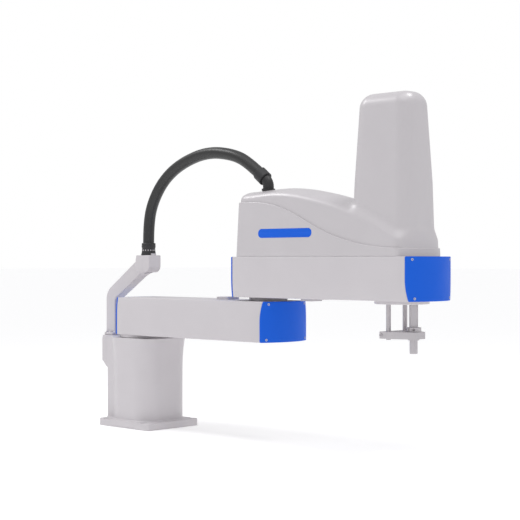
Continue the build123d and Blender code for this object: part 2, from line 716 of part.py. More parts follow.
with BuildPart() as cover_ring:
    with Locations((j2_x, 0, ring_z - 9)):
        Cylinder(ring_hole_r - 0.1, 11, align=UP)
    with Locations((j2_x, 0, ring_z + 1.5)):
        Cylinder(ring_hole_r + 1.5, 5, align=UP)
        Cylinder(pipe_r + gap, 60, mode=Mode.SUBTRACT)
cover_ring.part.label = "cover_ring"
export_step(cover_ring.part, "parts/cover_ring.step")

# ---------------------------------------------------------------- drives in arm 2
with BuildPart() as shaft_flange:
    with Locations((flange_x, 0, flange_low)):
        Cylinder(flange_r, arm2_z - flange_low, align=UP)
    chamfer(shaft_flange.edges().group_by(Axis.Z)[0], 1.5)
    with Locations((flange_x, 0, arm2_z)):
        Cylinder(flange_r - 7.1, 11, align=UP)
    with Locations((j3_x, 0, flange_low)):
        Cylinder(14, 60, mode=Mode.SUBTRACT)
    with Locations((j3_x, 0, arm2_z)):
        Cylinder(23, 60, align=UP, mode=Mode.SUBTRACT)
    with Locations((rod_x, rod_y, arm2_z), (rod_x, -rod_y, arm2_z)):
        Cylinder(10, 60, mode=Mode.SUBTRACT)
shaft_flange.part.label = "shaft_flange"
export_step(shaft_flange.part, "parts/shaft_flange.step")

with BuildPart() as guide_bushes:
    with Locations((rod_x, rod_y, flange_low), (rod_x, -rod_y, flange_low)):
        Cylinder(9.95, 46, align=UP)
    with Locations((rod_x, rod_y, arm2_z + 11), (rod_x, -rod_y, arm2_z + 11)):
        Cylinder(12.5, 3, align=UP)
        Cylinder(rod_r + running, 200, mode=Mode.SUBTRACT)
guide_bushes.part.label = "guide_bushes"
export_step(guide_bushes.part, "parts/guide_bushes.step")

nut4_r, nut3_r, bearing4_r, bearing3_r = 19.0, 20.0, 22.95, 25.95
with BuildPart() as spline_bearing:
    with Locations((j3_x, 0, arm2_z)):
        Cylinder(bearing4_r, 14, align=UP)
        Cylinder(nut4_r + running, 40, mode=Mode.SUBTRACT)
spline_bearing.part.label = "spline_bearing"
export_step(spline_bearing.part, "parts/spline_bearing.step")

belt4_low = arm2_z + 48
with BuildPart() as spline_nut:
    with Locations((j3_x, 0, arm2_z + 1)):
        Cylinder(nut4_r, belt4_low - arm2_z - 3, align=UP)
    add(toothed_wheel(j3_x, belt4_low - 2, pulley_r, pulley_teeth, shaft_r + running))
    with Locations((j3_x, 0, belt4_low)):
        Cylinder(shaft_r + running, 200, mode=Mode.SUBTRACT)
spline_nut.part.label = "spline_nut"
export_step(spline_nut.part, "parts/spline_nut.step")

with BuildPart() as j4_belt:
    add(belt_loop(motor4_x, motor4_pulley_r, belt4_low))
j4_belt.part.label = "j4_belt"
export_step(j4_belt.part, "parts/j4_belt.step")

frame_base_t, motor_shaft_r = 8.0, 7.0
with BuildPart() as j4_motor_pulley:
    add(toothed_wheel(motor4_x, belt4_low - 2, motor4_pulley_r, motor4_teeth, motor_shaft_r - 1))
    with Locations((motor4_x, 0, belt4_low - 4)):
        Cylinder(motor_shaft_r, arm2_top - belt4_low + 10, align=UP)
j4_motor_pulley.part.label = "j4_motor_pulley"
export_step(j4_motor_pulley.part, "parts/j4_motor_pulley.step")

with BuildPart() as j4_motor:
    add(servo(motor4_x, arm2_top + frame_base_t, 30, 100, 33))
j4_motor.part.label = "j4_motor"
export_step(j4_motor.part, "parts/j4_motor.step")

# The drive frame: a plate across the opening of arm 2, four posts and an upper plate inside the tower.
posts = [(862, 36), (862, -36), (1012, 36), (1012, -36)]
with BuildPart() as drive_frame:
    with BuildSketch(Plane.XY.offset(arm2_top)):
        with Locations((890, 0)):
            RectangleRounded(256, 150, 30)
    extrude(amount=frame_base_t)
    with Locations(*[(x, y, arm2_top) for x, y in posts]):
        Cylinder(5, frame_high - arm2_top, align=UP)
    with BuildSketch(Plane.XY.offset(frame_low)):
        with Locations((938, 0)):
            RectangleRounded(170, 88, 16)
    extrude(amount=frame_high - frame_low)
    with Locations((j3_x, 0, frame_low)):
        Cylinder(26, 40, mode=Mode.SUBTRACT)
    with Locations((j3_x, 0, arm2_top)):
        Cylinder(13, 40, mode=Mode.SUBTRACT)
    with Locations((rod_x, rod_y, frame_low), (rod_x, -rod_y, frame_low)):
        Cylinder(rod_r + 2, 300, mode=Mode.SUBTRACT)
    with Locations((motor4_x, 0, arm2_top)):
        Cylinder(motor_shaft_r + 3, 40, mode=Mode.SUBTRACT)
    with Locations((motor3_x, 0, frame_low)):
        Cylinder(motor_shaft_r + 3, 40, mode=Mode.SUBTRACT)
drive_frame.part.label = "drive_frame"
export_step(drive_frame.part, "parts/drive_frame.step")

with BuildPart() as ball_bearing:
    with Locations((j3_x, 0, frame_low)):
        Cylinder(bearing3_r, frame_high - frame_low, align=UP)
        Cylinder(nut3_r + running, 60, mode=Mode.SUBTRACT)
ball_bearing.part.label = "ball_bearing"
export_step(ball_bearing.part, "parts/ball_bearing.step")

belt3_low = frame_low - 18
with BuildPart() as ball_nut:
    with Locations((j3_x, 0, frame_high + 2)):
        Cylinder(nut3_r, frame_high - belt3_low - 9, align=DOWN)
    add(toothed_wheel(j3_x, belt3_low - 2, pulley_r, pulley_teeth, shaft_r + running))
    with Locations((j3_x, 0, belt3_low)):
        Cylinder(shaft_r + running, 200, mode=Mode.SUBTRACT)
ball_nut.part.label = "ball_nut"
export_step(ball_nut.part, "parts/ball_nut.step")

with BuildPart() as j3_belt:
    add(belt_loop(motor3_x, motor3_pulley_r, belt3_low))
j3_belt.part.label = "j3_belt"
export_step(j3_belt.part, "parts/j3_belt.step")

with BuildPart() as j3_motor_pulley:
    add(toothed_wheel(motor3_x, belt3_low - 2, motor3_pulley_r, motor3_teeth, motor_shaft_r - 1))
    with Locations((motor3_x, 0, belt3_low - 4)):
        Cylinder(motor_shaft_r, frame_high - belt3_low + 3.5, align=UP)
j3_motor_pulley.part.label = "j3_motor_pulley"
export_step(j3_motor_pulley.part, "parts/j3_motor_pulley.step")

with BuildPart() as j3_motor:
    add(servo(motor3_x, frame_high, 30, 118, 31))
j3_motor.part.label = "j3_motor"
export_step(j3_motor.part, "parts/j3_motor.step")

# ---------------------------------------------------------------- lift carriage
tie_back, tie_front, tie_back_half, tie_front_half = 926.0, 1021.0, 46.0, 21.0
with BuildPart() as tie_plate:
    with BuildSketch(Plane.XY.offset(tie_low)) as tie_outline:
        with BuildLine():
            Polyline(
                (tie_back, -tie_back_half),
                (tie_back + 44, -tie_back_half),
                (tie_front, -tie_front_half),
                (tie_front, tie_front_half),
                (tie_back + 44, tie_back_half),
                (tie_back, tie_back_half),
                close=True,
            )
        make_face()
        fillet(tie_outline.vertices(), 5)
    extrude(amount=tie_t)
    with Locations((j3_x, 0, tie_low)):
        Cylinder(shaft_r + running, 80, mode=Mode.SUBTRACT)
    with Locations((rod_x, rod_y, tie_low), (rod_x, -rod_y, tie_low)):
        Cylinder(rod_r, 80, mode=Mode.SUBTRACT)
    # a clamp slit from the rear edge to each rod
    with Locations((rod_x - 14, rod_y, tie_low), (rod_x - 14, -rod_y, tie_low)):
        Box(26, 1.6, 80, mode=Mode.SUBTRACT)
    with Locations(Plane((rod_x - 13, tie_back_half, tie_low + tie_t / 2), z_dir=(0, 1, 0))):
        Cylinder(2.2, 44, mode=Mode.SUBTRACT)
    with Locations(Plane((rod_x - 13, -tie_back_half, tie_low + tie_t / 2), z_dir=(0, -1, 0))):
        Cylinder(2.2, 44, mode=Mode.SUBTRACT)
tie_plate.part.label = "tie_plate"
export_step(tie_plate.part, "parts/tie_plate.step")

with BuildPart() as tie_screws:
    for side in (-1, 1):
        with Locations(Plane((rod_x - 13, side * tie_back_half, tie_low + tie_t / 2), z_dir=(0, side, 0))):
            Cylinder(2.1, 20, align=DOWN)
            Cylinder(3.6, 3.5, align=UP)
        head = Plane((rod_x - 13, side * (tie_back_half + 3.5), tie_low + tie_t / 2), z_dir=(0, side, 0))
        with BuildSketch(head):
            RegularPolygon(1.8, 6)
        extrude(amount=-2, mode=Mode.SUBTRACT)
tie_screws.part.label = "tie_screws"
export_step(tie_screws.part, "parts/tie_screws.step")

with BuildPart() as guide_rods:
    with Locations((rod_x, rod_y, tie_low - 3), (rod_x, -rod_y, tie_low - 3)):
        Cylinder(rod_r, rod_high - tie_low + 3, align=UP)
    chamfer(guide_rods.edges().filter_by(GeomType.CIRCLE), 0.8)
guide_rods.part.label = "guide_rods"
export_step(guide_rods.part, "parts/guide_rods.step")

# ---------------------------------------------------------------- tool shaft
tip_length = 34.0
with BuildPart() as tool_shaft:
    with Locations((j3_x, 0, shaft_low)):
        Cylinder(shaft_tip_r, shaft_high - shaft_low, align=UP)
    with Locations((j3_x, 0, shaft_low + tip_length)):
        Cylinder(shaft_r, shaft_high - shaft_low - tip_length, align=UP)
    chamfer(tool_shaft.edges().group_by(Axis.Z)[0], 1.2)
    chamfer(tool_shaft.edges().group_by(Axis.Z)[-1], 1)
    with Locations((j3_x, 0, shaft_low)):
        Cylinder(shaft_bore_r, 2000, mode=Mode.SUBTRACT)
    # three spline grooves above the collar
    with Locations((j3_x, 0, tie_top + 14)):
        with PolarLocations(shaft_r, 3):
            Cylinder(1.6, 500, align=UP, mode=Mode.SUBTRACT)
tool_shaft.part.label = "tool_shaft"
export_step(tool_shaft.part, "parts/tool_shaft.step")

# The clamp collar above the tie plate and a retaining ring below it carry the plate on the shaft.
collar_r, collar_h = 19.0, 11.0
with BuildPart() as clamp_collar:
    with Locations((j3_x, 0, tie_top + gap)):
        Cylinder(collar_r, collar_h, align=UP)
    chamfer(clamp_collar.edges().filter_by(GeomType.CIRCLE), 0.8)
    with Locations((j3_x, 0, tie_top)):
        Cylinder(shaft_r, 60, mode=Mode.SUBTRACT)
    with Locations((j3_x, -collar_r + 2, tie_top)):
        Box(2, 14, 60, mode=Mode.SUBTRACT)
    with Locations(Plane((j3_x + 7, -15, tie_top + gap + collar_h / 2), z_dir=(1, 0, 0))):
        Cylinder(1.8, 40, mode=Mode.SUBTRACT)
        Cylinder(3, 20, align=UP, mode=Mode.SUBTRACT)
clamp_collar.part.label = "clamp_collar"
export_step(clamp_collar.part, "parts/clamp_collar.step")

with BuildPart() as collar_screw:
    with Locations(Plane((j3_x + 7, -15, tie_top + gap + collar_h / 2), z_dir=(1, 0, 0))):
        Cylinder(1.7, 16, align=DOWN)
        Cylinder(2.8, 3, align=UP)
        with Locations((0, 0, 1.5)):
            Cylinder(1.4, 3, align=UP, mode=Mode.SUBTRACT)
collar_screw.part.label = "collar_screw"
export_step(collar_screw.part, "parts/collar_screw.step")

with BuildPart() as retaining_ring:
    with Locations((j3_x, 0, tie_low - gap)):
        Cylinder(14, 3, align=DOWN)
        Cylinder(shaft_r, 60, mode=Mode.SUBTRACT)
retaining_ring.part.label = "retaining_ring"
export_step(retaining_ring.part, "parts/retaining_ring.step")

with BuildPart() as upper_stop_collar:
    with Locations((j3_x, 0, shaft_high - 13)):
        Cylinder(15, 6, align=UP)
        Cylinder(shaft_r, 60, mode=Mode.SUBTRACT)
upper_stop_collar.part.label = "upper_stop_collar"
export_step(upper_stop_collar.part, "parts/upper_stop_collar.step")
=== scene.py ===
import json
import math

import bpy
import numpy as np
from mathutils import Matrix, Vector


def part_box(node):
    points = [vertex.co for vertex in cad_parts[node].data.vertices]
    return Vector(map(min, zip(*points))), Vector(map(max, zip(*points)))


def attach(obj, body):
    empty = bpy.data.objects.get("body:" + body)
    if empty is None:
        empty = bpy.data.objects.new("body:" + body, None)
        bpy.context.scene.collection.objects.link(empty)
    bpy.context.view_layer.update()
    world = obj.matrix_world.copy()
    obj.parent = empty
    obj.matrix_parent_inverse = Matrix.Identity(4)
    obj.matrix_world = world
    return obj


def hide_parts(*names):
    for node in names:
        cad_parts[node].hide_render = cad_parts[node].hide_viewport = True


# A SCARA robot arm. Shapes below are worked out in millimetres and become meshes in metres.
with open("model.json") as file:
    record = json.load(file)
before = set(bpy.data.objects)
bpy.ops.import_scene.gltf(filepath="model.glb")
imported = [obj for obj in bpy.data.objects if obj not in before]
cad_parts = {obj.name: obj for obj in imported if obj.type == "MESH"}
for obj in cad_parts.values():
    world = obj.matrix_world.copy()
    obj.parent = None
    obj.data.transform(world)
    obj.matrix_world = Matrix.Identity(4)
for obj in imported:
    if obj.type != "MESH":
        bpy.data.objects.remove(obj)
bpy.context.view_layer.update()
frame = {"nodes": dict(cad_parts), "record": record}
MM = 0.001


def node_box(node):
    """The lowest and the highest corner of a CAD node, in millimetres."""
    low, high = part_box(node)
    return np.array(low) / MM, np.array(high) / MM


# ---------------------------------------------------------------- sizes, from the frame where it has them
plate_low, base_high = node_box("base_casting")
arm1_low, arm1_high = node_box("arm1_casting")
arm2_low, arm2_high = node_box("arm2_casting")
top_low, top_high = node_box("top_cover")
arm2_top = float(arm2_high[2])

end_r, end_t = 175.0, 4.5  # plan radius and thickness of the end covers
arm_wide, arm_narrow = 90.0, 82.0
cover_taper = math.tan(math.radians(2.5))
cover_rear, cover_front, cover_half, cover_corner = 438.0, 1041.5, 88.0, 14.0
cover_step, skin = 2.7, 3.0  # how far the upper cover stands in from the skirt, and the covers' thickness


# ---------------------------------------------------------------- camera, at the photograph's viewing angle
def make_camera():
    camera = bpy.data.objects.new("camera", bpy.data.cameras.new("camera"))
    bpy.context.scene.collection.objects.link(camera)
    camera.location = (3.0339, -2.6261, 0.4952)
    camera.rotation_euler = Vector((-0.6989, 0.7152, 0.0)).to_track_quat("-Z", "Y").to_euler()
    camera.data.lens = 92.17
    camera.data.sensor_width = 36.0
    bpy.context.scene.camera = camera


# ---------------------------------------------------------------- materials
def new_material(name, color, roughness, metallic=0.0):
    """A material, its node tree and its Principled shader."""
    material = bpy.data.materials.new(name)
    material.use_nodes = True
    tree = material.node_tree
    shader = tree.nodes["Principled BSDF"]
    shader.inputs["Base Color"].default_value = (*color, 1)
    shader.inputs["Roughness"].default_value = roughness
    shader.inputs["Metallic"].default_value = metallic
    return material, tree, shader


def noise(tree, scale, detail=3.0, stretch=(1, 1, 1)):
    """A noise texture in object coordinates, scale in features per metre."""
    place = tree.nodes.new("ShaderNodeTexCoord")
    mapping = tree.nodes.new("ShaderNodeMapping")
    mapping.inputs["Scale"].default_value = stretch
    texture = tree.nodes.new("ShaderNodeTexNoise")
    texture.inputs["Scale"].default_value = scale
    texture.inputs["Detail"].default_value = detail
    tree.links.new(place.outputs["Object"], mapping.inputs["Vector"])
    tree.links.new(mapping.outputs["Vector"], texture.inputs["Vector"])
    return texture.outputs["Fac"]


def spread(tree, value, low, high, start=0.3, end=0.7):
    """A value between start and end, moved to between low and high."""
    node = tree.nodes.new("ShaderNodeMapRange")
    for name, number in (("From Min", start), ("From Max", end), ("To Min", low), ("To Max", high)):
        node.inputs[name].default_value = number
    tree.links.new(value, node.inputs["Value"])
    return node.outputs["Result"]


def mix_color(tree, share, first, second):
    """Two colours mixed by a share; each is a tuple or a socket."""
    node = tree.nodes.new("ShaderNodeMix")
    node.data_type = "RGBA"
    tree.links.new(share, node.inputs["Factor"])
    for socket, color in ((node.inputs["A"], first), (node.inputs["B"], second)):
        if isinstance(color, tuple):
            socket.default_value = (*color, 1)
        else:
            tree.links.new(color, socket)
    return node.outputs["Result"]


def bump(tree, shader, height, distance, strength=1.0):
    """Relief of the given depth in metres, on top of any relief that the shader already has."""
    node = tree.nodes.new("ShaderNodeBump")
    node.inputs["Distance"].default_value = distance
    node.inputs["Strength"].default_value = strength
    if shader.inputs["Normal"].is_linked:
        tree.links.new(shader.inputs["Normal"].links[0].from_socket, node.inputs["Normal"])
    tree.links.new(height, node.inputs["Height"])
    tree.links.new(node.outputs["Normal"], shader.inputs["Normal"])


def dimmed(color, share):
    """A colour at a share of its brightness."""
    return tuple(channel * share for channel in color)


def paint(name, color, roughness, peel=0.00003, dust=0.04, coat=0.0, specular=0.5):
    """Sprayed paint or a painted cover: orange peel, faint patches, dust that dulls it in places, and a
    painted highlight that lightens its convex edges.
    """
    material, tree, shader = new_material(name, color, roughness)
    shader.inputs["Specular IOR Level"].default_value = specular
    shader.inputs["Coat Weight"].default_value = coat
    shader.inputs["Coat Roughness"].default_value = 0.34
    patches = spread(tree, noise(tree, 9, 4), 0, 1)
    base = mix_color(tree, patches, dimmed(color, 0.975), color)
    dirt = spread(tree, noise(tree, 14, 5), 0, dust, 0.45, 0.8)
    # Painted highlight: convex edges, where pointiness is high, are painted a little lighter, as if light
    # caught them.
    pointiness = tree.nodes.new("ShaderNodeNewGeometry").outputs["Pointiness"]
    edge = spread(tree, pointiness, 0, 0.35, 0.53, 0.62)
    base = mix_color(tree, dirt, base, dimmed(color, 0.62))
    base = mix_color(tree, edge, base, tuple(min(1.0, channel * 1.07 + 0.01) for channel in color))
    tree.links.new(base, shader.inputs["Base Color"])
    rough = spread(tree, noise(tree, 20, 4), roughness - 0.03, roughness + 0.06)
    tree.links.new(rough, shader.inputs["Roughness"])
    bump(tree, shader, noise(tree, 700, 1), peel, 0.6)
    return material


def rubber(name, color, roughness, grain):
    """Matt moulded rubber or plastic with a fine grain and rubbed patches."""
    material, tree, shader = new_material(name, color, roughness)
    shader.inputs["Specular IOR Level"].default_value = 0.42
    worn = spread(tree, noise(tree, 16, 4), 0, 0.35, 0.45, 0.8)
    rubbed = tuple(channel * 1.3 + 0.003 for channel in color)
    tree.links.new(mix_color(tree, worn, color, rubbed), shader.inputs["Base Color"])
    rough = spread(tree, noise(tree, 20, 3), roughness - 0.05, roughness + 0.05)
    tree.links.new(rough, shader.inputs["Roughness"])
    bump(tree, shader, noise(tree, 500, 1), grain, 0.5)
    return material


def bare_metal(name, color, roughness, brushed, metallic=1.0):
    """Turned, ground or milled metal: fine tool marks along one direction, and slight staining."""
    material, tree, shader = new_material(name, color, roughness, metallic)
    stain = spread(tree, noise(tree, 18, 4), 0, 0.2, 0.42, 0.78)
    tree.links.new(mix_color(tree, stain, color, dimmed(color, 0.86)), shader.inputs["Base Color"])
    marks = noise(tree, 500, 2, brushed)
    tree.links.new(spread(tree, marks, roughness - 0.02, roughness + 0.03), shader.inputs["Roughness"])
    bump(tree, shader, marks, 0.000001)
    return material


GREY = (0.640, 0.610, 0.634)
BLUE = (0.004, 0.113, 0.69)
MATERIALS = {
    "grey_paint": paint("grey_paint", dimmed(GREY, 0.94), 0.40),
    "grey_cover": paint("grey_cover", dimmed(GREY, 0.88), 0.36, 0.00001, 0.03, 0.7),
    "blue_cover": paint("blue_cover", BLUE, 0.50, specular=0.22),
    "black_plastic": rubber("black_plastic", (0.026, 0.026, 0.027), 0.46, 0.00001),
    "black_conduit": rubber("black_conduit", (0.027, 0.027, 0.027), 0.38, 0.00001),
    "belt_rubber": rubber("belt_rubber", (0.022, 0.022, 0.024), 0.7, 0.00005),
    "motor_paint": rubber("motor_paint", (0.030, 0.030, 0.034), 0.42, 0.00004),
    "aluminium": bare_metal("aluminium", (0.54, 0.515, 0.535), 0.50, (1, 1, 0.04), 0.35),
    "steel": bare_metal("steel", (0.54, 0.515, 0.535), 0.42, (0.05, 0.05, 1), 0.45),
}


# ---------------------------------------------------------------- meshes
def add_piece(name, vertices, faces, slot, body, stands_for=(), normals=None, sharp=None):
    """A piece from vertices in millimetres, with its slot, its body and the CAD nodes that it stands for."""
    mesh = bpy.data.meshes.new(name)
    mesh.from_pydata((np.asarray(vertices) * MM).tolist(), [], [list(map(int, face)) for face in faces])
    mesh.validate()
    mesh.shade_smooth()
    if sharp is not None:
        mesh.set_sharp_from_angle(angle=math.radians(sharp))
    if normals is not None:
        mesh.normals_split_custom_set_from_vertices(np.asarray(normals).tolist())
    mesh.materials.append(MATERIALS[slot])
    piece = bpy.data.objects.new(name, mesh)
    bpy.context.scene.collection.objects.link(piece)
    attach(piece, body)
    if stands_for:
        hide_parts(*stands_for)
    return piece


def strip_faces(rows, start_pole, end_pole, close_rows=False):
    """Vertices and faces of a tube through rows of points, closed by a pole vertex at either end if asked."""
    rows = np.asarray(rows, float)
    count, around = rows.shape[:2]
    vertices = rows.reshape(-1, 3)
    ring = np.arange(around)
    after = np.roll(ring, -1)
    faces = []
    for i in range(count if close_rows else count - 1):
        a, b = i * around, ((i + 1) % count) * around
        faces.append(np.stack([a + ring, a + after, b + after, b + ring], 1))
    faces = [list(face) for block in faces for face in block]
    for pole, base, order in ((start_pole, 0, -1), (end_pole, (count - 1) * around, 1)):
        if pole is not None:
            vertices = np.vstack([vertices, pole])
            tip = len(vertices) - 1
            faces += [[base + a, base + b, tip][::order] for a, b in zip(ring, after)]
    return vertices, faces


def gradient(field, points, reach=0.05):
    """The field's slope at points, by central differences."""
    slopes = []
    for axis in range(3):
        step = np.zeros(3)
        step[axis] = reach
        ahead, behind = points + step, points - step
        slopes.append((field(*ahead.T) - field(*behind.T)) / (2 * reach))
    return np.stack(slopes, 1)


def surface(field, low, high, step):
    """The surface where field(x, y, z) is zero: a vertex in each grid cell that it crosses, moved onto it."""
    axes = [np.arange(a - 1.5 * step, b + 2.5 * step, step) for a, b in zip(low, high)]
    value = field(*np.meshgrid(*axes, indexing="ij"))
    strides = np.array([value.shape[1] * value.shape[2], value.shape[2], 1])
    total, count = np.zeros((value.size, 3)), np.zeros(value.size)
    quads = []
    for axis in range(3):
        near = np.take(value, range(value.shape[axis] - 1), axis)
        far = np.take(value, range(1, value.shape[axis]), axis)
        crossing = np.argwhere((near < 0) != (far < 0))
        a, b = near[tuple(crossing.T)], far[tuple(crossing.T)]
        points = crossing.astype(float)
        points[:, axis] += a / (a - b)
        first, second = strides[(axis + 1) % 3], strides[(axis + 2) % 3]
        corner = crossing @ strides
        quad = np.stack([corner, corner - first, corner - first - second, corner - second], 1)
        for cells in quad.T:
            np.add.at(total, cells, points)
            np.add.at(count, cells, 1)
        quad[a >= 0] = quad[a >= 0][:, ::-1]
        quads.append(quad)
    quads = np.vstack(quads)
    used, quads = np.unique(quads, return_inverse=True)
    quads = quads.reshape(-1, 4)
    origin = np.array([axis[0] for axis in axes])
    vertices = origin + step * total[used] / count[used, None]
    for _ in range(5):
        slope = gradient(field, vertices)
        move = field(*vertices.T) / np.maximum((slope**2).sum(1), 0.05)
        vertices -= slope * np.clip(move, -step, step)[:, None]
    slope = gradient(field, vertices, 0.3)
    normals = slope / np.maximum(np.linalg.norm(slope, axis=1, keepdims=True), 1e-9)
    return vertices, quads, normals


def thicken(vertices, quads, normals, thickness):
    """A shell from an open surface: its inner side, and a rim along every open edge."""
    edges = np.stack([quads, np.roll(quads, -1, 1)], 2).reshape(-1, 2)
    forward = {(a, b) for a, b in edges.tolist()}
    rim = [(a, b) for a, b in forward if (b, a) not in forward]
    shift = len(vertices)
    inner = vertices - normals * thickness
    faces = quads.tolist() + (quads[:, ::-1] + shift).tolist()
    faces += [[b, a, a + shift, b + shift] for a, b in rim]
    return np.vstack([vertices, inner]), faces


# ---------------------------------------------------------------- fields, negative inside
def cut(a, b, r):
    """What is inside both, with its edge rounded to the radius r."""
    return np.minimum(-r, np.maximum(a, b)) + np.hypot(np.maximum(r + a, 0), np.maximum(r + b, 0))


def join(a, b, r):
    """What is inside either, with a fillet of radius r between them."""
    return np.maximum(r, np.minimum(a, b)) - np.hypot(np.maximum(r - a, 0), np.maximum(r - b, 0))


def rectangle(x, y, half_x, half_y, r):
    """A rectangle with corners of radius r."""
    qx, qy = np.abs(x) - half_x + r, np.abs(y) - half_y + r
    return np.hypot(np.maximum(qx, 0), np.maximum(qy, 0)) + np.minimum(np.maximum(qx, qy), 0) - r


def slab(z, low, high):
    """What lies between two heights."""
    return np.maximum(low - z, z - high)


def polygon(x, y, points):
    """The distance to a closed polygon."""
    points = np.asarray(points, float)
    nearest = np.full(np.shape(x), np.inf)
    inside = np.zeros(np.shape(x), bool)
    for (ax, ay), (bx, by) in zip(points, np.roll(points, -1, 0)):
        ex, ey = bx - ax, by - ay
        t = np.clip(((x - ax) * ex + (y - ay) * ey) / (ex * ex + ey * ey), 0, 1)
        nearest = np.minimum(nearest, np.hypot(x - ax - t * ex, y - ay - t * ey))
        crosses = ((ay > y) != (by > y)) & (x < ax + (y - ay) * ex / (ey if ey else 1e-9))
        inside ^= crosses
    return np.where(inside, -nearest, nearest)


def rounded_path(points, radii, steps=9):
    """A polygon's points with an arc of each radius in place of its corner, where that radius isn't zero."""
    path = []
    for before, corner, after, r in zip(np.roll(points, 1, 0), points, np.roll(points, -1, 0), radii):
        if not r:
            path.append(corner)
            continue
        into = (before - corner) / np.linalg.norm(before - corner)
        out = (after - corner) / np.linalg.norm(after - corner)
        half = math.acos(float(into @ out)) / 2
        middle = (into + out) / np.linalg.norm(into + out)
        centre = corner + middle * r / math.sin(half)
        starts, ends = corner + into * r / math.tan(half) - centre, corner + out * r / math.tan(half) - centre
        for t in np.linspace(0, 1, steps):
            ray = starts * (1 - t) + ends * t
            path.append(centre + ray / np.linalg.norm(ray) * r)
    return np.array(path)


def curve_through(points):
    """A smooth function through points (x, y), as a natural cubic spline."""
    x, y = np.array(points, float).T
    n, h = len(x), np.diff(x)
    rows, right = np.eye(n), np.zeros(n)
    for i in range(1, n - 1):
        rows[i, i - 1 : i + 2] = h[i - 1], 2 * (h[i - 1] + h[i]), h[i]
        right[i] = 6 * ((y[i + 1] - y[i]) / h[i] - (y[i] - y[i - 1]) / h[i - 1])
    bend = np.linalg.solve(rows, right)

    def value(at):
        at = np.clip(at, x[0], x[-1])
        i = np.clip(np.searchsorted(x, at) - 1, 0, n - 2)
        a, b = (x[i + 1] - at) / h[i], (at - x[i]) / h[i]
        curl = ((a**3 - a) * bend[i] + (b**3 - b) * bend[i + 1]) * h[i] ** 2 / 6
        return a * y[i] + b * y[i + 1] + curl

    return value


# ---------------------------------------------------------------- conduit
def make_conduit():
    """The hose from the fitting above J1 to the cuff above J2, as one smooth line, in metres."""
    length, diameter = 0.654, 0.0335
    points = [
        (0, 0, 0.5463),
        (0, 0, 0.609),
        (0.022, 0, 0.674),
        (0.074, 0, 0.737),
        (0.152, 0, 0.780),
        (0.258, 0, 0.805),
        (0.360, 0, 0.793),
        (0.425, 0, 0.766),
        (0.4836, 0, 0.7213),
    ]
    line = bpy.data.curves.new("conduit_line", "CURVE")
    line.dimensions = "3D"
    spline = line.splines.new("NURBS")
    spline.points.add(len(points) - 1)
    for point, place in zip(spline.points, points):
        point.co = (*place, 1)
    spline.order_u = 3
    spline.use_endpoint_u = True
    spline.resolution_u = 16
    line.bevel_depth = diameter / 2
    line.bevel_resolution = 10
    line.use_fill_caps = True
    line.materials.append(MATERIALS["black_conduit"])
    hose = bpy.data.objects.new("conduit_hose", line)
    bpy.context.scene.collection.objects.link(hose)
    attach(hose, "arm1")
    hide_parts("conduit")


def make_fitting():
    """The fitting that turns in the bracket: a collar with a rolled rim, a flared foot, ticks and a tab."""
    low, high = node_box("base_fitting")
    thread, bore_r, thread_r, foot_r, corners = 30.0, 9.0, 11.8, 22.6, 48
    foot, top = low[2] + thread, high[2]
    profile = [(bore_r, low[2]), (thread_r, low[2]), (thread_r, foot), (foot_r, foot), (foot_r, foot + 2)]
    profile += [(21.4, foot + 6), (20.2, foot + 13), (19.8, foot + 21), (20.7, foot + 23)]
    profile += [(21.0, foot + 25), (20.6, top - 1.2), (19.4, top), (bore_r, top)]
    turns = np.linspace(0, 2 * math.pi, corners + 1)[:-1]
    rings = [[(r * math.cos(a), r * math.sin(a), z) for a in turns] for r, z in profile]
    vertices, faces = strip_faces(rings, None, None, close_rows=True)
    add_piece("hose_fitting", vertices, faces, "black_plastic", "base", ["base_fitting"], sharp=35)

    # Each patch: its direction, width, middle height, height, and the radii of its back and its front.
    ticks = 16
    patches = [(k * math.tau / ticks, 2.6, foot + 15, 3.4, 19.4, 20.25) for k in range(ticks)]
    patches.append((0.0, 18.0, foot + 2.8, 5.0, 20.5, 22.8))
    vertices, faces = [], []
    for angle, width, middle, height, back, front in patches:
        count = len(vertices)
        ray = np.array([math.cos(angle), math.sin(angle)])
        side = np.array([-math.sin(angle), math.cos(angle)])
        for depth in (back, front):
            for across, up in ((-1, -1), (1, -1), (1, 1), (-1, 1)):
                vertices.append((*(ray * depth + side * across * width / 2), middle + up * height / 2))
        for quad in ((3, 2, 1, 0), (4, 5, 6, 7), (0, 1, 5, 4), (1, 2, 6, 5), (2, 3, 7, 6), (3, 0, 4, 7)):
            faces.append([count + k for k in quad])
    add_piece("fitting_marks", vertices, faces, "grey_paint", "base", sharp=30)


